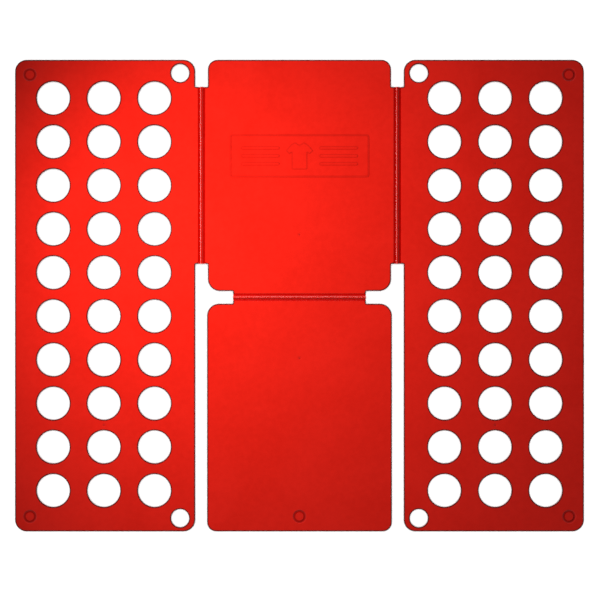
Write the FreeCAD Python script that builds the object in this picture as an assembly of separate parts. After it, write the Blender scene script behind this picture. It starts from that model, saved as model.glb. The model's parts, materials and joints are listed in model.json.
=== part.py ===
import FreeCAD, Part
import math
import os

# Shirt folding board, in millimetres, +Z up.
# Four flat plastic panels lie in one plane: a centre panel, a flap in front of it, and a full-depth
# panel at each side. Three folds join them. Each fold is a raised spine between two thin webs, and
# each web bends by up to 90 degrees, so that a panel turns right over onto the centre panel.
# Origin: the middle of the open board, on the surface that its feet stand on.
# +X points to the right-hand panel and +Y to the rear, where a shirt's collar lies.

# The open board
BOARD_WIDTH = 690.0
BOARD_DEPTH = 572.0
PANEL_THICKNESS = 2.0
FOOT_PROUD = 0.5
UNDERSIDE = FOOT_PROUD
TOP = UNDERSIDE + PANEL_THICKNESS
MIDDLE = (UNDERSIDE + TOP) / 2
EDGE_SOFTENING = 0.6

# Panels
CENTRE_WIDTH = 222.0
FLAP_WIDTH = 224.0
SIDE_PANEL_CORNER = 14.0
FRONT_FOLD_CORNER = 14.5
CENTRE_REAR_CORNER = 11.5
FLAP_FRONT_CORNER = 11.0

# Folds: the gap between two panels, and what crosses it
FOLD_GAP = 15.6
FRONT_FOLD_Y = -2.1
SIDE_FOLD_LENGTH = 214.6
FRONT_FOLD_LENGTH = 161.0
TAB_INNER_CORNER = 0.8
TAB_OUTER_CORNER = 0.7
TAB_TO_TAB = 8.8
SPINE_WIDTH = 3.2
SPINE_CROWN = 0.75
WEB_END_INSET = 0.1
WEB_THICKNESS = 0.5

# The webs of the side folds lie high in the panel and those of the front fold low, so that the
# folded flap lies under the folded left panel.
SIDE_WEB_Z = MIDDLE + 0.4
FRONT_WEB_Z = MIDDLE - 0.35

# Vent holes in each side panel
VENT_RADIUS = 20.0
VENT_COLUMNS = 3
VENT_ROWS = 10
VENT_COLUMN_PITCH = 61.4
VENT_ROW_PITCH = 52.9
VENT_OUTER_MARGIN = 46.3
VENT_REAR_MARGIN = 46.3

# Hanging holes at the corners of the side panels next to the centre
HANG_RADIUS = 11.0
HANG_INNER_MARGIN = 18.2
HANG_END_MARGIN = 16.0

# Feet, each a pad under the panel with a stem that comes up through it into a ring-shaped recess
FOOT_MARGIN = 17.9
PAD_RADIUS = 7.5
PAD_SINK = 0.6
STEM_RADIUS = 5.0
STEM_BELOW_TOP = 0.1
STEM_CLEARANCE = 0.05
RING_TOP_RADIUS = 8.4
RING_FLOOR_RADIUS = 7.0
RING_DEPTH = 0.8
FOOT_SOFTENING = 0.25

# Injection gates: a shallow dimple with the broken sprue's nub in it
GATE_RADIUS = 2.4
GATE_DEPTH = 0.25
GATE_NUB_RADIUS = 0.8
GATE_NUB_HEIGHT = 0.2
SIDE_GATE_ROW_GAP = 1.5
CENTRE_GATE_Y = 74.0
FLAP_GATE_Y = -76.0

# Raised label on the centre panel: a line frame round a plain shirt shape and two pairs of bars
LABEL_Y = 169.5
LABEL_WIDTH = 168.5
LABEL_DEPTH = 51.5
LABEL_LINE = 1.3
LABEL_CORNER = 1.6
LABEL_HEIGHT = 0.4
SHIRT_SIZE = 32.0
BAR_LENGTH = 46.0
BAR_WIDTH = 3.2
BAR_PITCH = 9.6
BAR_ROWS = 3
BAR_X = 47.5

# Worked out from the sizes above
SIDE_INNER_X = CENTRE_WIDTH / 2 + FOLD_GAP
SIDE_OUTER_X = BOARD_WIDTH / 2
SIDE_FOLD_X = CENTRE_WIDTH / 2 + FOLD_GAP / 2
REAR_Y = BOARD_DEPTH / 2
FRONT_Y = -BOARD_DEPTH / 2
CENTRE_FRONT_Y = FRONT_FOLD_Y + FOLD_GAP / 2
FLAP_REAR_Y = FRONT_FOLD_Y - FOLD_GAP / 2
SIDE_FOLD_Y = (CENTRE_FRONT_Y + REAR_Y) / 2
TAB_REACH = (FOLD_GAP - TAB_TO_TAB) / 2
WEB_WIDTH = (TAB_TO_TAB - SPINE_WIDTH) / 2


def corner_arc(before, corner, after, radius):
    """The rounding of one outline corner: its start, middle and end points."""
    to_before = (before - corner).normalize()
    to_after = (after - corner).normalize()
    half_angle = to_before.getAngle(to_after) / 2
    reach = radius / math.tan(half_angle)
    inward = (to_before + to_after).normalize()
    middle = corner + inward * (radius / math.sin(half_angle) - radius)
    return corner + to_before * reach, middle, corner + to_after * reach


def plate(corners, z_low, z_high):
    """A flat plate. corners are (x, y, radius) in order round the outline, each one rounded."""
    points = [FreeCAD.Vector(x, y, z_low) for x, y, _ in corners]
    arcs = []
    for i, (_, _, radius) in enumerate(corners):
        after = points[(i + 1) % len(points)]
        arcs.append(corner_arc(points[i - 1], points[i], after, radius))
    edges = []
    for i, (start, middle, end) in enumerate(arcs):
        edges.append(Part.LineSegment(arcs[i - 1][2], start).toShape())
        edges.append(Part.Arc(start, middle, end).toShape())
    face = Part.Face(Part.Wire(edges))
    return face.extrude(FreeCAD.Vector(0, 0, z_high - z_low))


def block(x, y, width, depth, z_low, z_high, corner):
    """A flat plate with four equal corners, centred on x, y."""
    left, right = x - width / 2, x + width / 2
    front, rear = y - depth / 2, y + depth / 2
    corners = [(left, front, corner), (right, front, corner), (right, rear, corner), (left, rear, corner)]
    return plate(corners, z_low, z_high)


def disc(x, y, z_low, z_high, radius):
    return Part.makeCylinder(radius, z_high - z_low, FreeCAD.Vector(x, y, z_low))


def soften(solid, level, radius):
    """Rounds the edges that lie flat at one height."""
    at_level = [
        edge for edge in solid.Edges
        if max(abs(edge.BoundBox.ZMin - level), abs(edge.BoundBox.ZMax - level)) < 0.01
    ]
    return solid.makeFillet(radius, at_level)


def soft_sheet(corners, holes):
    """A panel's sheet: its outline cut by round holes (x, y, radius), with every edge softened."""
    sheet = plate(corners, UNDERSIDE, TOP)
    if holes:
        sheet = sheet.cut([disc(x, y, UNDERSIDE - 1, TOP + 1, radius) for x, y, radius in holes])
    return soften(soften(sheet, TOP, EDGE_SOFTENING), UNDERSIDE, EDGE_SOFTENING)


def foot_socket(x, y):
    """What a panel loses at a foot: the ring-shaped recess, the stem's hole and the pad's seat."""
    ring_floor = TOP - RING_DEPTH
    ring = Part.makeCone(
        RING_FLOOR_RADIUS, RING_TOP_RADIUS, RING_DEPTH, FreeCAD.Vector(x, y, ring_floor)
    )
    hole = disc(x, y, UNDERSIDE, ring_floor, STEM_RADIUS + STEM_CLEARANCE)
    seat = disc(x, y, UNDERSIDE, UNDERSIDE + PAD_SINK, PAD_RADIUS + STEM_CLEARANCE)
    return [ring, hole, seat]


def foot(x, y):
    pad = soften(disc(x, y, 0, UNDERSIDE + PAD_SINK, PAD_RADIUS), 0, FOOT_SOFTENING)
    stem_top = TOP - STEM_BELOW_TOP
    stem = soften(disc(x, y, UNDERSIDE, stem_top, STEM_RADIUS), stem_top, FOOT_SOFTENING)
    return pad.fuse(stem).removeSplitter()


def gate_mark(panel, x, y):
    """The panel with one gate dimple and the nub in it."""
    floor = TOP - GATE_DEPTH
    dimple = Part.makeCone(GATE_RADIUS / 2, GATE_RADIUS, GATE_DEPTH, FreeCAD.Vector(x, y, floor))
    nub = Part.makeCone(
        GATE_NUB_RADIUS, GATE_NUB_RADIUS / 2, GATE_NUB_HEIGHT, FreeCAD.Vector(x, y, floor)
    )
    return panel.cut(dimple).fuse(nub)


def vent_holes(side):
    holes = []
    for column in range(VENT_COLUMNS):
        x = side * (SIDE_OUTER_X - VENT_OUTER_MARGIN - column * VENT_COLUMN_PITCH)
        for row in range(VENT_ROWS):
            holes.append((x, REAR_Y - VENT_REAR_MARGIN - row * VENT_ROW_PITCH, VENT_RADIUS))
    return holes


def hang_holes(side):
    x = side * (SIDE_INNER_X + HANG_INNER_MARGIN)
    return [(x, end * (REAR_Y - HANG_END_MARGIN), HANG_RADIUS) for end in (1, -1)]


def side_feet(side):
    x = side * (SIDE_OUTER_X - FOOT_MARGIN)
    return {"rear": (x, REAR_Y - FOOT_MARGIN), "front": (x, FRONT_Y + FOOT_MARGIN)}


def flap_foot():
    return 0.0, FRONT_Y + FOOT_MARGIN


def side_panel(side):
    """A side panel with its tab, holes, foot sockets and gate marks. side is -1 left, +1 right."""
    tab_x = SIDE_INNER_X - TAB_REACH
    tab_rear = SIDE_FOLD_Y + SIDE_FOLD_LENGTH / 2
    tab_front = SIDE_FOLD_Y - SIDE_FOLD_LENGTH / 2
    corners = [
        (SIDE_INNER_X, FRONT_Y, SIDE_PANEL_CORNER), (SIDE_OUTER_X, FRONT_Y, SIDE_PANEL_CORNER),
        (SIDE_OUTER_X, REAR_Y, SIDE_PANEL_CORNER), (SIDE_INNER_X, REAR_Y, SIDE_PANEL_CORNER),
        (SIDE_INNER_X, tab_rear, TAB_INNER_CORNER), (tab_x, tab_rear, TAB_OUTER_CORNER),
        (tab_x, tab_front, TAB_OUTER_CORNER), (SIDE_INNER_X, tab_front, TAB_INNER_CORNER),
    ]
    corners = [(side * x, y, radius) for x, y, radius in corners]
    panel = soft_sheet(corners, vent_holes(side) + hang_holes(side))
    for x, y in side_feet(side).values():
        panel = panel.cut(foot_socket(x, y))
    gate_x = side * (SIDE_OUTER_X - VENT_OUTER_MARGIN - VENT_COLUMN_PITCH)
    rear_gate_y = REAR_Y - VENT_REAR_MARGIN - SIDE_GATE_ROW_GAP * VENT_ROW_PITCH
    front_gate_y = rear_gate_y - (VENT_ROWS - 1 - 2 * SIDE_GATE_ROW_GAP) * VENT_ROW_PITCH
    for y in (rear_gate_y, front_gate_y):
        panel = gate_mark(panel, gate_x, y)
    return panel


def shirt_shape(z_low, z_high):
    """A plain short-sleeved shirt, seen flat, as a raised shape on the centre panel."""
    half = [
        (0.16, 0.50), (0.30, 0.42), (0.50, 0.20), (0.38, 0.08), (0.28, 0.17), (0.28, -0.50),
    ]
    right = [(x * SHIRT_SIZE, LABEL_Y + y * SHIRT_SIZE, 0.6) for x, y in half]
    left = [(-x, y, radius) for x, y, radius in reversed(right)]
    neck = [(0.0, LABEL_Y + 0.38 * SHIRT_SIZE, 3.0)]
    return plate(neck + right + left, z_low, z_high)


def label():
    """The raised label: frame, shirt and bars."""
    base = TOP - LABEL_HEIGHT
    top = TOP + LABEL_HEIGHT
    frame = block(0, LABEL_Y, LABEL_WIDTH, LABEL_DEPTH, base, top, LABEL_CORNER + LABEL_LINE)
    hollow_width = LABEL_WIDTH - 2 * LABEL_LINE
    hollow_depth = LABEL_DEPTH - 2 * LABEL_LINE
    frame = frame.cut(block(0, LABEL_Y, hollow_width, hollow_depth, base, top, LABEL_CORNER))
    pieces = [frame, shirt_shape(base, top)]
    for side in (-1, 1):
        for row in range(BAR_ROWS):
            y = LABEL_Y + (row - (BAR_ROWS - 1) / 2) * BAR_PITCH
            pieces.append(block(side * BAR_X, y, BAR_LENGTH, BAR_WIDTH, base, top, BAR_WIDTH / 2.2))
    return pieces


def centre_panel():
    """The panel that stays on the table, with a tab on each of its three folds and the label."""
    side_x = CENTRE_WIDTH / 2
    tab_x = side_x + TAB_REACH
    tab_y = CENTRE_FRONT_Y - TAB_REACH
    tab_rear = SIDE_FOLD_Y + SIDE_FOLD_LENGTH / 2
    tab_front = SIDE_FOLD_Y - SIDE_FOLD_LENGTH / 2
    half_front = FRONT_FOLD_LENGTH / 2
    right = [
        (half_front, tab_y, TAB_OUTER_CORNER), (half_front, CENTRE_FRONT_Y, TAB_INNER_CORNER),
        (side_x, CENTRE_FRONT_Y, FRONT_FOLD_CORNER), (side_x, tab_front, TAB_INNER_CORNER),
        (tab_x, tab_front, TAB_OUTER_CORNER), (tab_x, tab_rear, TAB_OUTER_CORNER),
        (side_x, tab_rear, TAB_INNER_CORNER), (side_x, REAR_Y, CENTRE_REAR_CORNER),
    ]
    left = [(-x, y, radius) for x, y, radius in reversed(right)]
    panel = gate_mark(soft_sheet(right + left, []), 0, CENTRE_GATE_Y)
    return panel.fuse(label()).removeSplitter()


def front_flap():
    """The flap in front of the centre panel, with its tab, foot socket and gate mark."""
    side_x = FLAP_WIDTH / 2
    half_fold = FRONT_FOLD_LENGTH / 2
    tab_y = FLAP_REAR_Y + TAB_REACH
    right = [
        (side_x, FRONT_Y, FLAP_FRONT_CORNER), (side_x, FLAP_REAR_Y, FRONT_FOLD_CORNER),
        (half_fold, FLAP_REAR_Y, TAB_INNER_CORNER), (half_fold, tab_y, TAB_OUTER_CORNER),
    ]
    left = [(-x, y, radius) for x, y, radius in reversed(right)]
    panel = soft_sheet(right + left, []).cut(foot_socket(*flap_foot()))
    return gate_mark(panel, 0, FLAP_GATE_Y)


def spine(length):
    """A fold's raised spine along Y, centred on the origin: flat below, with a crowned top."""
    half = SPINE_WIDTH / 2
    start = -length / 2
    low_left = FreeCAD.Vector(-half, start, UNDERSIDE)
    low_right = FreeCAD.Vector(half, start, UNDERSIDE)
    high_left = FreeCAD.Vector(-half, start, TOP)
    high_right = FreeCAD.Vector(half, start, TOP)
    crown = FreeCAD.Vector(0, start, TOP + SPINE_CROWN)
    profile = Part.Wire([
        Part.LineSegment(low_left, low_right).toShape(),
        Part.LineSegment(low_right, high_right).toShape(),
        Part.Arc(high_right, crown, high_left).toShape(),
        Part.LineSegment(high_left, low_left).toShape(),
    ])
    return Part.Face(profile).extrude(FreeCAD.Vector(0, length, 0))


def web(length, side, z):
    """A thin web along Y on one side of a spine, from the spine to the tab."""
    x = side * (SPINE_WIDTH + WEB_WIDTH) / 2
    low, high = z - WEB_THICKNESS / 2, z + WEB_THICKNESS / 2
    corner = FreeCAD.Vector(x - WEB_WIDTH / 2, -length / 2, low)
    return Part.makeBox(WEB_WIDTH, length, high - low, corner)


def fold(length, web_z):
    """A fold along Y, centred on the origin: its spine, and its webs on the -X and +X sides."""
    web_length = length - 2 * WEB_END_INSET
    return spine(length), web(web_length, -1, web_z), web(web_length, 1, web_z)


def side_fold(side):
    """A side fold's spine, inner web and outer web. The inner web is the one at the centre panel."""
    solids = fold(SIDE_FOLD_LENGTH, SIDE_WEB_Z)
    for solid in solids:
        solid.translate(FreeCAD.Vector(side * SIDE_FOLD_X, SIDE_FOLD_Y, 0))
    spine_solid, low_x_web, high_x_web = solids
    if side < 0:
        return spine_solid, high_x_web, low_x_web
    return spine_solid, low_x_web, high_x_web


def front_fold():
    """The front fold's spine, its web at the centre panel and its web at the flap."""
    solids = fold(FRONT_FOLD_LENGTH, FRONT_WEB_Z)
    for solid in solids:
        solid.rotate(FreeCAD.Vector(0, 0, 0), FreeCAD.Vector(0, 0, 1), -90)
        solid.translate(FreeCAD.Vector(0, FRONT_FOLD_Y, 0))
    spine_solid, centre_web, flap_web = solids
    return spine_solid, centre_web, flap_web


def board():
    """Every sub-part of the board, by node name."""
    parts = {"centre_panel": centre_panel(), "front_flap": front_flap()}
    for name, side in (("left", -1), ("right", 1)):
        parts[f"{name}_panel"] = side_panel(side)
        spine_solid, inner_web, outer_web = side_fold(side)
        parts[f"{name}_fold_spine"] = spine_solid
        parts[f"{name}_fold_inner_web"] = inner_web
        parts[f"{name}_fold_outer_web"] = outer_web
        for end, (x, y) in side_feet(side).items():
            parts[f"{name}_{end}_foot"] = foot(x, y)
    spine_solid, centre_web, flap_web = front_fold()
    parts["front_fold_spine"] = spine_solid
    parts["front_fold_inner_web"] = centre_web
    parts["front_fold_outer_web"] = flap_web
    parts["flap_foot"] = foot(*flap_foot())
    return parts


os.makedirs("parts", exist_ok=True)
for node, shape in board().items():
    solid = shape.Solids[0]
    solid.exportStep(f"parts/{node}.step")
    box = solid.BoundBox
    print(
        f"{node}: {len(shape.Solids)} solid, valid {solid.isValid()}, {solid.Volume:.1f} mm3, "
        f"x {box.XMin:.2f} to {box.XMax:.2f}, y {box.YMin:.2f} to {box.YMax:.2f}, "
        f"z {box.ZMin:.2f} to {box.ZMax:.2f}"
    )
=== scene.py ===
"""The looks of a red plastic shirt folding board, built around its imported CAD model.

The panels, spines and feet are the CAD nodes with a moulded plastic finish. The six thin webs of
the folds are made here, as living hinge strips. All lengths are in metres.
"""

import json
import math

import bmesh
import bpy
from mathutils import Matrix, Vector


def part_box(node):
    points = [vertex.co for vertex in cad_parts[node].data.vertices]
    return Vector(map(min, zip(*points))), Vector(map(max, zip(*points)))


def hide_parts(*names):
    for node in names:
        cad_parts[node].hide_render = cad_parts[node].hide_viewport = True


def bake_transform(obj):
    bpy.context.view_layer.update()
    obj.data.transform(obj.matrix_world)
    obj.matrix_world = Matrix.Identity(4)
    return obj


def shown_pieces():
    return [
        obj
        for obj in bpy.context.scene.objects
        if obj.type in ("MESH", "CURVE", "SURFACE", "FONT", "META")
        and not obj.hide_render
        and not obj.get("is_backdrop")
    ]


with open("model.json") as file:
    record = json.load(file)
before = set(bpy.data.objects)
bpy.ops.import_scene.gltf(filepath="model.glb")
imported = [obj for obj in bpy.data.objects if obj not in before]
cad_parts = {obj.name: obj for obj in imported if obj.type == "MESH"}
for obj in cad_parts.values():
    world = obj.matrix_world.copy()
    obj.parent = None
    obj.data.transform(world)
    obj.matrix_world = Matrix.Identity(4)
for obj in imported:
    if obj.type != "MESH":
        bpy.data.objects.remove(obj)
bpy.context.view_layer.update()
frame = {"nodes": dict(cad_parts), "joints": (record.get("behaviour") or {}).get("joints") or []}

MM = 0.001
X, Y, Z = 0, 1, 2

# ---- living hinges ----
HINGE_EMBED = 0.25 * MM  # how far a strip's sides reach into the tab and the spine
HINGE_BEND = 0.8 * MM  # half the width of a zone centred on the fold's axis, whose ends are worked out but not used
GROOVE_REACH = 1.0 * MM  # half the width of the thinned groove
GROOVE_TOP = 0.12 * MM  # how far the groove sinks into the strip's top
GROOVE_UNDER = 0.06 * MM  # and into its underside
FILLET_WIDTH = 0.6 * MM  # the strip thickens this far from each side
FILLET_RISE = 0.18 * MM
HINGE_END_RADIUS = 0.2 * MM
HINGE_COLUMNS = 28
HINGE_ROWS = 40
END_ANGLES = (20, 45, 70, 90)  # degrees round a strip's rounded end
SHARP_ANGLE = 50  # degrees between two faces of a strip, above which their edge stays sharp

# ---- plastic: each finish has two tones of red, and grain is how strong its fine grain is ----
PANEL_FINISH = {
    "dark": (0.55, 0.0080, 0.0030), "light": (0.60, 0.0095, 0.0038),
    "roughness": 0.42, "grain": 0.35, "specular": 0.4,
}
FOOT_FINISH = {**PANEL_FINISH, "grain": 0.20}
# painted shade: the spines' finish is a darker copy of the panels' red, for the shaded flanks of the beads
SPINE_SHADED_FINISH = {
    "dark": (0.32, 0.0046, 0.0018), "light": (0.37, 0.0058, 0.0025),
    "roughness": 0.28, "grain": 0.08, "specular": 0.30,
}
# painted shade: the webs' finish is a darker copy still, for the shade in the folds' grooves
HINGE_SHADED_FINISH = {
    "dark": (0.27, 0.0009, 0.0002), "light": (0.32, 0.0013, 0.0004),
    "roughness": 0.36, "grain": 0.08, "specular": 0.06,
}
PLASTIC_IOR = 1.49
FLOW_SCALE = 11.0  # features to the metre in the flow marks,
MOTTLE_SCALE = 170.0  # in the mottle
GRAIN_SCALE = 1500.0  # and in the fine grain
FLOW_DISTORTION = 0.9
FLOW_SPREAD = (0.3, 0.7)  # the flow marks' values over which the gloss changes
FLOW_GLOSS = 0.05  # and how far they shift the roughness either way
TONE_SPREAD = (0.75, 1.25)  # the sums of flow and mottle over which the tone turns from dark to light
MOTTLE_RISE = 0.12 * MM
MOTTLE_STRENGTH = 0.5
GRAIN_RISE = 0.08 * MM

# ---- painted shade on the panels: darker red in recesses, in crevices and along edges ----
# painted shade: a darker red for recesses, hole walls and the foot of raised or sunk shapes
RECESS_SHADE_RED = (0.34, 0.0030, 0.0010)
RECESS_ROUGHNESS = 0.28
# painted shade: a near-black red along the panels' edges and round their holes
EDGE_SHADE_RED = (0.075, 0.0040, 0.0030)
RECESS_FADE = (0.20, 0.45)  # where a recess' painted shade sets in, from 0 at a panel's faces to 1 at its middle
RIM_FADE = (0.55, 0.70)  # where the painted shade along its edges ends
RIM_WIDTH = 1.74 * MM  # the painted shade deepens this close to an edge
RIM_VIEW = (1.0, 0.86)  # the clear shares of the view inside the sheet where it starts and is full
CREVICE_WIDTH = 1.2 * MM  # the painted shade deepens this close to the foot of a raised or sunk shape
CREVICE_VIEW = (0.99, 0.55)  # the clear shares of the view outside where it starts and is full
FOLD_REACH = 5.0 * MM  # no painted edge shade this close to a spine, where the tabs run into the webs, nor to a foot
FOOT_REACH = 3.0 * MM  # nor to a foot
RAISED = 0.05 * MM  # shapes that stand up from a panel by more than this have this share of the painted shade along edges
RAISED_RIM_SHADE = 0.2  # have edges this much as deep in tone
VIEW_SAMPLES = 8

# ---- lights, with their power in watts, and the floor's in watts to the square metre ----
BOARD_MIDDLE = (0.0, 0.0, 0.0)
LAMP_PLACE = (-0.26, 0.16, 0.46)
LAMP_AIM = (0.016, -0.016, 0.0)
LAMP_POWER = 20.5
LAMP_CONE = 120  # degrees
LAMP_RADIUS = 0.06
LEFT_SOFTBOX_PLACE = (-1.5, 0.2, 0.3)
LEFT_SOFTBOX_POWER = 16.0
REAR_SOFTBOX_PLACE = (-0.1, 0.85, 1.25)
REAR_SOFTBOX_POWER = 15.0
SOFTBOX_SIZE = 0.6
FLOOR_LIGHT_PLACE = (-0.1, 0.1, 1.6)
FLOOR_LIGHT_POWER = 3.6
FLOOR_LIGHT_ANGLE = 110  # degrees

# ---- surroundings ----
FLOOR_SIZE = 30.0
FLOOR_TONE = 0.90
FLOOR_ROUGHNESS = 0.9
FLOOR_SPECULAR = 0.1
HORIZON_STRENGTH = 0.60
ZENITH_STRENGTH = 0.05
BACKDROP_TONE = 0.96

# ---- camera ----
LENS = 100.0
SENSOR = 36.0
FRAME_WIDTH = 0.7276  # what the picture spans at the board's top face
CAMERA_X = 0.0006
CAMERA_Y = -0.0053

# A Mix node's colour sockets: its two inputs and its output
MIX_FIRST, MIX_SECOND, MIX_RESULT = 6, 7, 2


def node(tree, kind, values=None, **settings):
    """A new shader node with its settings, and with each named or numbered input set or linked."""
    made = tree.nodes.new(kind)
    for name, value in settings.items():
        setattr(made, name, value)
    for name, value in (values or {}).items():
        if isinstance(value, bpy.types.NodeSocket):
            tree.links.new(value, made.inputs[name])
        else:
            made.inputs[name].default_value = value
    return made


def noise(tree, place, scale, detail, distortion=0.0):
    """A noise pattern from 0 to 1 with that many features to the metre."""
    values = {"Vector": place, "Scale": scale, "Detail": detail, "Distortion": distortion}
    return node(tree, "ShaderNodeTexNoise", values).outputs["Fac"]


def remap(tree, value, low, high, to_low, to_high):
    """value, from low to high, spread over to_low to to_high."""
    values = {"Value": value, "From Min": low, "From Max": high, "To Min": to_low, "To Max": to_high}
    return node(tree, "ShaderNodeMapRange", values).outputs["Result"]


def mix(tree, share, first, second):
    """A colour between two, which are colours or the outputs of other nodes."""
    values = {"Factor": share, MIX_FIRST: first, MIX_SECOND: second}
    return node(tree, "ShaderNodeMix", values, data_type="RGBA").outputs[MIX_RESULT]


def math_node(tree, operation, *values):
    """The result of one sum on numbers, or on the outputs of other nodes."""
    return node(tree, "ShaderNodeMath", dict(enumerate(values)), operation=operation).outputs[0]


def distance(tree, value, centre):
    """How far a coordinate lies from a centre."""
    return math_node(tree, "ABSOLUTE", math_node(tree, "SUBTRACT", value, centre))


def outside(tree, axes, name, reach):
    """0 above and below a CAD node whose box is grown by reach along X and Y, and 1 elsewhere."""
    low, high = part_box(name)
    inside = 1.0
    for axis in (X, Y):
        away = distance(tree, axes[axis], (low[axis] + high[axis]) / 2)
        half = (high[axis] - low[axis]) / 2 + reach[axis]
        inside = math_node(tree, "MULTIPLY", inside, math_node(tree, "LESS_THAN", away, half))
    return math_node(tree, "SUBTRACT", 1.0, inside)


def edge_shade_zone(tree, axes):
    """1 where the painted shade along a panel's edges goes, and 0 round its feet and where its tabs meet
    the webs.
    """
    sharp = 1.0
    for name in frame["nodes"]:
        if name.endswith("_foot"):
            reach = (FOOT_REACH, FOOT_REACH)
        elif name.endswith("_spine"):
            low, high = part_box(name)
            lies_along_x = high[X] - low[X] > high[Y] - low[Y]
            reach = (-RIM_WIDTH, FOLD_REACH) if lies_along_x else (FOLD_REACH, -RIM_WIDTH)
        else:
            continue
        sharp = math_node(tree, "MULTIPLY", sharp, outside(tree, axes, name, reach))
    return sharp


def nearness(tree, reach, inside, view):
    """From 0 to 1 as a piece's own faces come within reach of a point, inside or outside the piece.

    view holds the clear shares of the view from the point where the mask starts and where it is full.
    """
    settings = {"samples": VIEW_SAMPLES, "inside": inside, "only_local": True}
    clear = node(tree, "ShaderNodeAmbientOcclusion", {"Distance": reach}, **settings).outputs["AO"]
    return remap(tree, clear, *view, 0.0, 1.0)


def panel_shade_and_gloss(tree, place, faces, colour, gloss):
    """A panel's colour and gloss, with painted shade along its edges, in its recesses and round its label.

    faces holds the heights of the panel's underside and top.
    """
    low, high = faces
    axes = node(tree, "ShaderNodeSeparateXYZ", {0: place}).outputs
    depth = remap(tree, distance(tree, axes[Z], (low + high) / 2), 0.0, (high - low) / 2, 1.0, 0.0)
    # painted shade: darker red deeper in the sheet and at the foot of raised or sunk shapes
    recess_shade = remap(tree, depth, *RECESS_FADE, 0.0, 1.0)
    gloss = remap(tree, recess_shade, 0.0, 1.0, gloss, RECESS_ROUGHNESS)
    colour = mix(tree, recess_shade, colour, (*RECESS_SHADE_RED, 1.0))
    crevice_shade = nearness(tree, CREVICE_WIDTH, False, CREVICE_VIEW)
    colour = mix(tree, crevice_shade, colour, (*RECESS_SHADE_RED, 1.0))
    # painted shade along the edges: darker red where the sheet's own faces are near inside it
    rim_shade = nearness(tree, RIM_WIDTH, True, RIM_VIEW)
    on_face = remap(tree, depth, *RIM_FADE, 1.0, 0.0)
    raised = remap(tree, axes[Z], high, high + RAISED, 1.0, RAISED_RIM_SHADE)
    for share in (on_face, raised, edge_shade_zone(tree, axes)):
        rim_shade = math_node(tree, "MULTIPLY", rim_shade, share)
    return mix(tree, rim_shade, colour, (*EDGE_SHADE_RED, 1.0)), gloss


def plastic(name, dark, light, roughness, grain, specular, faces=None):
    """Moulded polypropylene: a fine grain over faint flow marks, which vary its tone and gloss.

    With faces, the heights of a panel's underside and top, it has a panel's painted shade too.
    """
    made = bpy.data.materials.new(name)
    made.use_nodes = True
    tree = made.node_tree
    shader = tree.nodes["Principled BSDF"]
    place = node(tree, "ShaderNodeTexCoord").outputs["Object"]

    flow = noise(tree, place, FLOW_SCALE, 4.0, FLOW_DISTORTION)
    mottle = noise(tree, place, MOTTLE_SCALE, 3.0)
    fine = noise(tree, place, GRAIN_SCALE, 2.0)

    share = remap(tree, math_node(tree, "ADD", flow, mottle), *TONE_SPREAD, 0.0, 1.0)
    colour = mix(tree, share, (*dark, 1.0), (*light, 1.0))
    gloss = remap(tree, flow, *FLOW_SPREAD, roughness - FLOW_GLOSS, roughness + FLOW_GLOSS)
    if faces:
        colour, gloss = panel_shade_and_gloss(tree, place, faces, colour, gloss)
    tree.links.new(colour, shader.inputs["Base Color"])
    tree.links.new(gloss, shader.inputs["Roughness"])

    values = {"Strength": MOTTLE_STRENGTH, "Distance": MOTTLE_RISE, "Height": mottle}
    waves = node(tree, "ShaderNodeBump", values).outputs["Normal"]
    values = {"Strength": grain, "Distance": GRAIN_RISE, "Height": fine, "Normal": waves}
    bumps = node(tree, "ShaderNodeBump", values).outputs["Normal"]
    tree.links.new(bumps, shader.inputs["Normal"])

    shader.inputs["IOR"].default_value = PLASTIC_IOR
    shader.inputs["Specular IOR Level"].default_value = specular
    return made


def clamp(value):
    return max(0.0, min(1.0, value))


def hinge_profile(low, high, across, axis_at):
    """The strip's section: (place across, bottom, top) for each column, thinnest at the fold's axis."""
    side_low = low[across] - HINGE_EMBED
    side_high = high[across] + HINGE_EMBED
    section = []
    for column in range(HINGE_COLUMNS + 1):
        u = side_low + (side_high - side_low) * column / HINGE_COLUMNS
        groove = 0.5 + 0.5 * math.cos(math.pi * clamp(abs(u - axis_at) / GROOVE_REACH))
        from_side = min(u - side_low, side_high - u)
        fillet = clamp(1.0 - from_side / FILLET_WIDTH) ** 2
        bottom = low[Z] + GROOVE_UNDER * groove - FILLET_RISE * fillet
        top = high[Z] - GROOVE_TOP * groove + FILLET_RISE * fillet
        section.append((u, bottom, top))
    return section


def hinge_rows(low, high, along):
    """(place along, share of the thickness) for each row, with both ends rounded."""
    start, end = low[along], high[along]
    ends = []
    for degrees in END_ANGLES:
        angle = math.radians(degrees)
        ends.append((HINGE_END_RADIUS * (1.0 - math.cos(angle)), math.sin(angle)))
    rows = [(start + inset, share) for inset, share in ends]
    run_start, run_end = start + HINGE_END_RADIUS, end - HINGE_END_RADIUS
    for row in range(1, HINGE_ROWS):
        rows.append((run_start + (run_end - run_start) * row / HINGE_ROWS, 1.0))
    return rows + [(end - inset, share) for inset, share in reversed(ends)]


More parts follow.
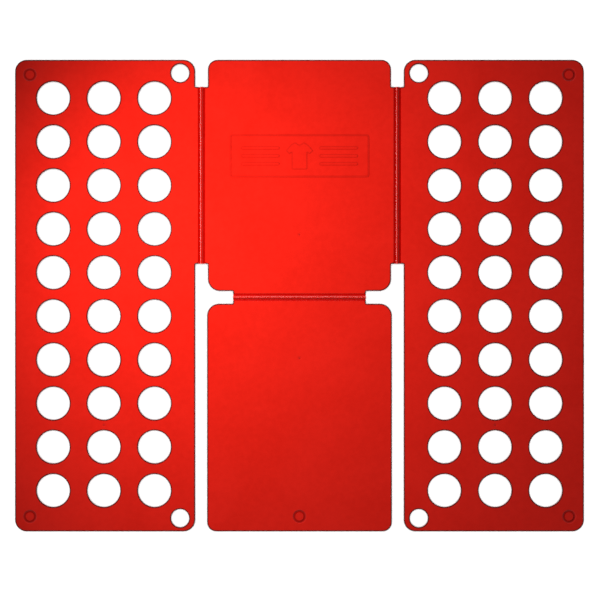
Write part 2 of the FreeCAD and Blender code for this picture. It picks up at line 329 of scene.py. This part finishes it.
def hinge_mesh(name, section, rows, across):
    """A closed strip that runs the section along the rows."""
    shape = bmesh.new()
    tops, bottoms = [], []
    for v, share in rows:
        top_row, bottom_row = [], []
        for u, bottom, top in section:
            middle, half = (top + bottom) / 2, (top - bottom) / 2 * share
            flat = (u, v) if across == X else (v, u)
            top_row.append(shape.verts.new((*flat, middle + half)))
            bottom_row.append(shape.verts.new((*flat, middle - half)))
        tops.append(top_row)
        bottoms.append(bottom_row)
    last_row, last_column = len(rows) - 1, len(section) - 1
    for i in range(last_row):
        for j in range(last_column):
            for sheet in (tops, bottoms):
                shape.faces.new((sheet[i][j], sheet[i][j + 1], sheet[i + 1][j + 1], sheet[i + 1][j]))
        for j in (0, last_column):
            shape.faces.new((tops[i][j], tops[i + 1][j], bottoms[i + 1][j], bottoms[i][j]))
    for i in (0, last_row):
        for j in range(last_column):
            shape.faces.new((tops[i][j], tops[i][j + 1], bottoms[i][j + 1], bottoms[i][j]))
    bmesh.ops.recalc_face_normals(shape, faces=shape.faces)
    mesh = bpy.data.meshes.new(name)
    shape.to_mesh(mesh)
    shape.free()
    for face in mesh.polygons:
        face.use_smooth = True
    mesh.set_sharp_from_angle(angle=math.radians(SHARP_ANGLE))
    return mesh


def living_hinge(joint_name, web, material):
    """The thin strip of one fold line, which lies between the two bodies that the joint joins."""
    joint = next(j for j in frame["joints"] if j["name"] == joint_name)
    low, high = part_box(web)
    across = X if high[X] - low[X] < high[Y] - low[Y] else Y
    along = Y if across == X else X
    axis_at = joint["pos_m"][across]

    section = hinge_profile(low, high, across, axis_at)
    name = joint_name.replace("fold", "hinge")
    mesh = hinge_mesh(name, section, hinge_rows(low, high, along), across)
    mesh.materials.append(material)
    piece = bpy.data.objects.new(name, mesh)
    bpy.context.scene.collection.objects.link(piece)

    panel_low, panel_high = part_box("centre_panel")
    outward = math.copysign(1.0, axis_at - (panel_low[across] + panel_high[across]) / 2)
    start, end = Vector(joint["pos_m"]), Vector(joint["pos_m"])
    start[across] -= outward * HINGE_BEND
    end[across] += outward * HINGE_BEND
    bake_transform(piece)
    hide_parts(web)


def finish_nodes(material, ending):
    """Gives the material to every CAD node whose name has that ending."""
    for name, obj in frame["nodes"].items():
        if name.endswith(ending):
            obj.data.materials.clear()
            obj.data.materials.append(material)


def make_board():
    """Every shown piece of the board."""
    faces = [corner[Z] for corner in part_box("front_flap")]
    panel = plastic("panel_plastic", **PANEL_FINISH, faces=faces)
    foot = plastic("foot_plastic", **FOOT_FINISH)
    # the spine and hinge plastics carry painted shade: darker copies of the panels' red
    spine = plastic("spine_shaded_plastic", **SPINE_SHADED_FINISH)
    hinge = plastic("hinge_shaded_plastic", **HINGE_SHADED_FINISH)
    finish_nodes(panel, "_panel")
    finish_nodes(panel, "_flap")
    finish_nodes(foot, "_foot")
    finish_nodes(spine, "_spine")
    for side in ("left", "right", "front"):
        for place in ("inner", "outer"):
            living_hinge(f"{side}_{place}_fold", f"{side}_fold_{place}_web", hinge)


def make_floor():
    """A plain pale floor at the height that the feet stand on."""
    half = FLOOR_SIZE / 2
    mesh = bpy.data.meshes.new("floor")
    corners = [(-half, -half, 0.0), (half, -half, 0.0), (half, half, 0.0), (-half, half, 0.0)]
    mesh.from_pydata(corners, [], [(0, 1, 2, 3)])
    floor = bpy.data.objects.new("floor", mesh)
    bpy.context.scene.collection.objects.link(floor)
    material = bpy.data.materials.new("floor")
    material.use_nodes = True
    shader = material.node_tree.nodes["Principled BSDF"]
    shader.inputs["Base Color"].default_value = (FLOOR_TONE, FLOOR_TONE, FLOOR_TONE, 1.0)
    shader.inputs["Roughness"].default_value = FLOOR_ROUGHNESS
    shader.inputs["Specular IOR Level"].default_value = FLOOR_SPECULAR
    mesh.materials.append(material)
    floor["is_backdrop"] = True
    return floor


def light(name, kind, place, aim, power, lit, **settings):
    """A light at place that faces aim and shines only on the objects in lit."""
    data = bpy.data.lights.new(name, kind)
    data.energy = power
    for key, value in settings.items():
        setattr(data, key, value)
    made = bpy.data.objects.new(name, data)
    bpy.context.scene.collection.objects.link(made)
    made.location = place
    made.rotation_euler = (Vector(aim) - Vector(place)).to_track_quat("-Z", "Y").to_euler()
    made.visible_camera = False
    receivers = bpy.data.collections.new(f"{name}_lights")
    for obj in lit:
        receivers.objects.link(obj)
    made.light_linking.receiver_collection = receivers
    return made


def softbox(name, place, power, lit):
    """A square softbox that faces the board's middle."""
    light(name, "AREA", place, BOARD_MIDDLE, power, lit, size=SOFTBOX_SIZE)


def make_lights(floor):
    """A soft lamp over the board's rear left, a softbox for each kind of fold, and light for the floor."""
    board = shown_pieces()
    folds = [piece for piece in board if piece.name.endswith(("_spine", "_hinge"))]
    front_fold = [piece for piece in folds if piece.name.startswith("front_")]
    side_folds = [piece for piece in folds if piece not in front_fold]
    cone = {"spot_size": math.radians(LAMP_CONE), "spot_blend": 1.0, "shadow_soft_size": LAMP_RADIUS}
    lamp = light("lamp", "SPOT", LAMP_PLACE, LAMP_AIM, LAMP_POWER, board, **cone)
    lamp.visible_glossy = False
    softbox("left_softbox", LEFT_SOFTBOX_PLACE, LEFT_SOFTBOX_POWER, side_folds)
    softbox("rear_softbox", REAR_SOFTBOX_PLACE, REAR_SOFTBOX_POWER, front_fold)
    spread = math.radians(FLOOR_LIGHT_ANGLE)
    light("floor_light", "SUN", FLOOR_LIGHT_PLACE, BOARD_MIDDLE, FLOOR_LIGHT_POWER, [floor], angle=spread)


def make_world():
    """A dim sky that brightens towards the horizon, and a plain pale backdrop where it is seen."""
    world = bpy.data.worlds.new("studio")
    bpy.context.scene.world = world
    world.use_nodes = True
    tree = world.node_tree
    tree.nodes.clear()
    direction = node(tree, "ShaderNodeTexCoord").outputs["Generated"]
    height = node(tree, "ShaderNodeSeparateXYZ", {0: direction}).outputs["Z"]
    strength = remap(tree, height, 0.0, 1.0, HORIZON_STRENGTH, ZENITH_STRENGTH)
    sky = node(tree, "ShaderNodeBackground", {"Color": (1.0, 1.0, 1.0, 1.0), "Strength": strength})
    pale = (BACKDROP_TONE, BACKDROP_TONE, BACKDROP_TONE, 1.0)
    backdrop = node(tree, "ShaderNodeBackground", {"Color": pale, "Strength": 1.0})
    seen = node(tree, "ShaderNodeLightPath").outputs["Is Camera Ray"]
    both = node(tree, "ShaderNodeMixShader", {0: seen, 1: sky.outputs[0], 2: backdrop.outputs[0]})
    node(tree, "ShaderNodeOutputWorld", {"Surface": both.outputs[0]})


def make_camera():
    """A camera straight above the board, with the board's rear edge at the top of the picture."""
    data = bpy.data.cameras.new("camera")
    data.lens = LENS
    data.sensor_width = SENSOR
    made = bpy.data.objects.new("camera", data)
    bpy.context.scene.collection.objects.link(made)
    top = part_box("centre_panel")[1][Z]
    made.location = (CAMERA_X, CAMERA_Y, top + FRAME_WIDTH * LENS / SENSOR)
    bpy.context.scene.camera = made


make_camera()
make_board()
make_lights(make_floor())
make_world()
bpy.context.scene.view_settings.view_transform = "Standard"
